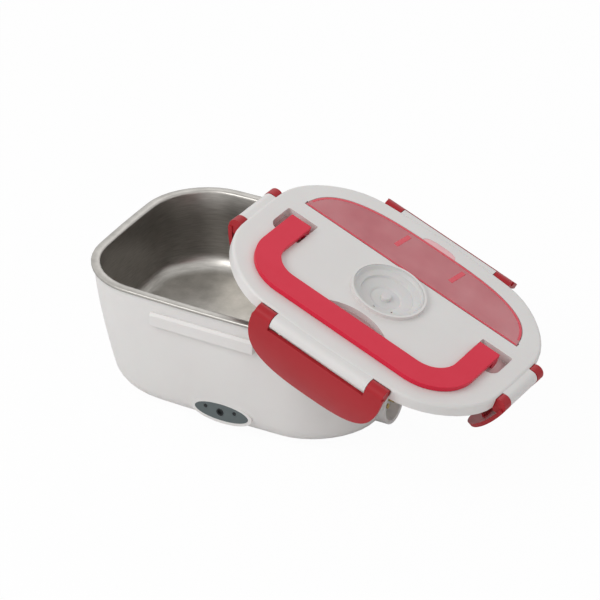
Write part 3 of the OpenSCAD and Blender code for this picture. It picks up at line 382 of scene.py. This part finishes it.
# Red line that the clear cover shows where its edge is seen end on. The curved part starts at
# RIM_FROM, behind the cover's hinge, so that it stays clear of the lid as the cover opens.
TRIM_FOOT, TRIM_TOP = -0.5, 0.15
RIM_INSET, RIM_FROM, RIM_HALF = 1.1, 38, 0.95
strip("cover_rim", bay_edge(RIM_INSET, RIM_FROM), RIM_HALF, TRIM_FOOT, TRIM_TOP, RIM_RED,
      *ON_COVER, bevel=0.2)
FRONT_X, FRONT_Y, FRONT_HALF, FRONT_TOP, FRONT_STEPS = 96, 32.35, 0.7, 0.25, 24
front = [(FRONT_X - 2 * FRONT_X * i / FRONT_STEPS, FRONT_Y) for i in range(FRONT_STEPS + 1)]
strip("cover_front", front, FRONT_HALF, TRIM_FOOT, FRONT_TOP, RIM_RED, *ON_COVER, bevel=0.25)

# The two finger ribs of the cover
RIB_FRONT, RIB_BACK, RIB_LEAN, RIB_HALF = 50, 67, 1, 2.0
for x, tag in ((-24, "left"), (26, "right")):
    rib = [(x - RIB_LEAN, RIB_FRONT), (x + RIB_LEAN, RIB_BACK)]
    strip("cover_tab_" + tag, rib, RIB_HALF, TRIM_FOOT, TRIM_TOP, RIM_RED, *ON_COVER, bevel=0.1)

# Lip of the cover over the thumb notch, lighter pink than the cover: its own tint with painted
# glare
NOTCH_A, NOTCH_B, NOTCH_Y, NOTCH_STEPS = 15, 8, 70.8, 64
LIP_FROM, LIP_FOOT, LIP_TOP = 73.2, -1.0, -0.3
notch = [oval_point(NOTCH_A, NOTCH_B, NOTCH_Y, 2 * math.pi * i / NOTCH_STEPS)
         for i in range(NOTCH_STEPS)]
prism("cover_lip", behind(notch, LIP_FROM), LIP_FOOT, LIP_TOP, PINK_WITH_PAINTED_GLARE, *ON_COVER, bevel=0.15)

# Thin sheets on the floors of the two handle pockets and of the finger scoop, painted with the
# pink reflection of the red handle
REFLECTION_SHEET_THICK = 0.12
POCKET_X, POCKET_Y, POCKET_RADII, POCKET_Z = (75.8, 102.2), (-10.7, 16.9), (2, 1, 1, 8), -7.5
for side, tag in ((-1, "left"), (1, "right")):
    pocket = [(side * x, y) for x, y in rounded(*POCKET_X, *POCKET_Y, POCKET_RADII)]
    prism("pocket_painted_reflection_" + tag, pocket, POCKET_Z, POCKET_Z + REFLECTION_SHEET_THICK, HANDLE_REFLECTION_PAINT, *ON_LID)
SCOOP_R, SCOOP_Y, SCOOP_FROM, SCOOP_Z, SCOOP_STEPS = 41.2, -76.2, -60.8, -4.5, 180
scoop = behind(circle(SCOOP_R, SCOOP_STEPS, SCOOP_Y), SCOOP_FROM)
prism("scoop_painted_reflection", scoop, SCOOP_Z, SCOOP_Z + REFLECTION_SHEET_THICK, HANDLE_REFLECTION_PAINT, *ON_LID)

# Soft outer lip of the vent plug
VENT_R, VENT_Z, VENT_STEPS = (26.3, 27.12), (1.0, 2.6), 96
ring("vent_lip", *VENT_R, *VENT_Z, VENT_STEPS, SILICONE, *ON_PLUG, bevel=0.3)


# ---------------------------------------------------------------- floor
FLOOR_HALF, FLOOR_Z = 6, -0.0002  # metres
FLOOR_GREY, FLOOR_ROUGH = (0.9, 0.9, 0.9, 1), 0.9
FLOOR_GLOW = 0.965  # share of pure white in what the camera sees of the floor


def pale(name, color, rough, glow):
    """Floor that the camera sees as white, with the object's shadow left on it."""
    m, t, shader = new_material(name, Base_Color=color, Roughness=rough, Specular_IOR_Level=0.0)
    shine = node(t, "ShaderNodeEmission", Color=(1, 1, 1, 1), Strength=1.0)
    ray = node(t, "ShaderNodeLightPath")
    share = node(t, "ShaderNodeMath", operation="MULTIPLY")
    share.inputs[1].default_value = glow
    mix = node(t, "ShaderNodeMixShader")
    t.links.new(ray.outputs["Is Camera Ray"], share.inputs[0])
    t.links.new(share.outputs[0], mix.inputs["Fac"])
    t.links.new(shader.outputs[0], mix.inputs[1])
    t.links.new(shine.outputs[0], mix.inputs[2])
    t.links.new(mix.outputs[0], t.nodes["Material Output"].inputs["Surface"])
    return m


floor_mesh = bpy.data.meshes.new("floor")
floor_mesh.from_pydata([(x * FLOOR_HALF, y * FLOOR_HALF, FLOOR_Z)
                        for x, y in ((-1, -1), (1, -1), (1, 1), (-1, 1))], [], [(0, 1, 2, 3)])
floor_mesh.materials.append(pale("floor", FLOOR_GREY, FLOOR_ROUGH, FLOOR_GLOW))
floor = bpy.data.objects.new("floor", floor_mesh)
scene.collection.objects.link(floor)


# ---------------------------------------------------------------- world and lights
# The world lights the object at WORLD_LIGHT; camera, glossy and transmitted rays see it white
WORLD_LIGHT = 0.55
world = bpy.data.worlds.new("world")
scene.world = world
world.use_nodes = True
wt = world.node_tree
wt.nodes.clear()
surface = node(wt, "ShaderNodeOutputWorld")
dim = node(wt, "ShaderNodeBackground", Color=(1, 1, 1, 1), Strength=WORLD_LIGHT)
white = node(wt, "ShaderNodeBackground", Color=(1, 1, 1, 1), Strength=1.0)
world_ray = node(wt, "ShaderNodeLightPath")
direct = node(wt, "ShaderNodeMath", operation="MAXIMUM")
seen = node(wt, "ShaderNodeMath", operation="MAXIMUM")
backdrop = node(wt, "ShaderNodeMixShader")
wt.links.new(world_ray.outputs["Is Camera Ray"], direct.inputs[0])
wt.links.new(world_ray.outputs["Is Glossy Ray"], direct.inputs[1])
wt.links.new(direct.outputs[0], seen.inputs[0])
wt.links.new(world_ray.outputs["Is Transmission Ray"], seen.inputs[1])
wt.links.new(seen.outputs[0], backdrop.inputs["Fac"])
wt.links.new(dim.outputs[0], backdrop.inputs[1])
wt.links.new(white.outputs[0], backdrop.inputs[2])
wt.links.new(backdrop.outputs[0], surface.inputs["Surface"])

# Area lights: name, place, the point that each is turned to, its size in metres, its watts
for name, place, target, size, power in (
        ("key", (-0.6, -1.15, 1.35), (0.05, 0, 0.05), (1.0, 0.8), 12),
        ("fill", (1.4, -0.6, 0.9), (0.05, 0, 0.08), (1.0, 0.8), 1.5),
        ("back", (-0.3, 1.3, 1.1), (0.05, 0, 0.1), (1.2, 0.6), 2)):
    light = bpy.data.lights.new(name, "AREA")
    light.shape = "RECTANGLE"
    light.size, light.size_y = size
    light.energy = power
    lamp = bpy.data.objects.new(name, light)
    lamp.location = place
    lamp.rotation_mode = "QUATERNION"
    lamp.rotation_quaternion = (Vector(target) - Vector(place)).to_track_quat("-Z", "Y")
    scene.collection.objects.link(lamp)

scene.view_settings.view_transform = "Standard"
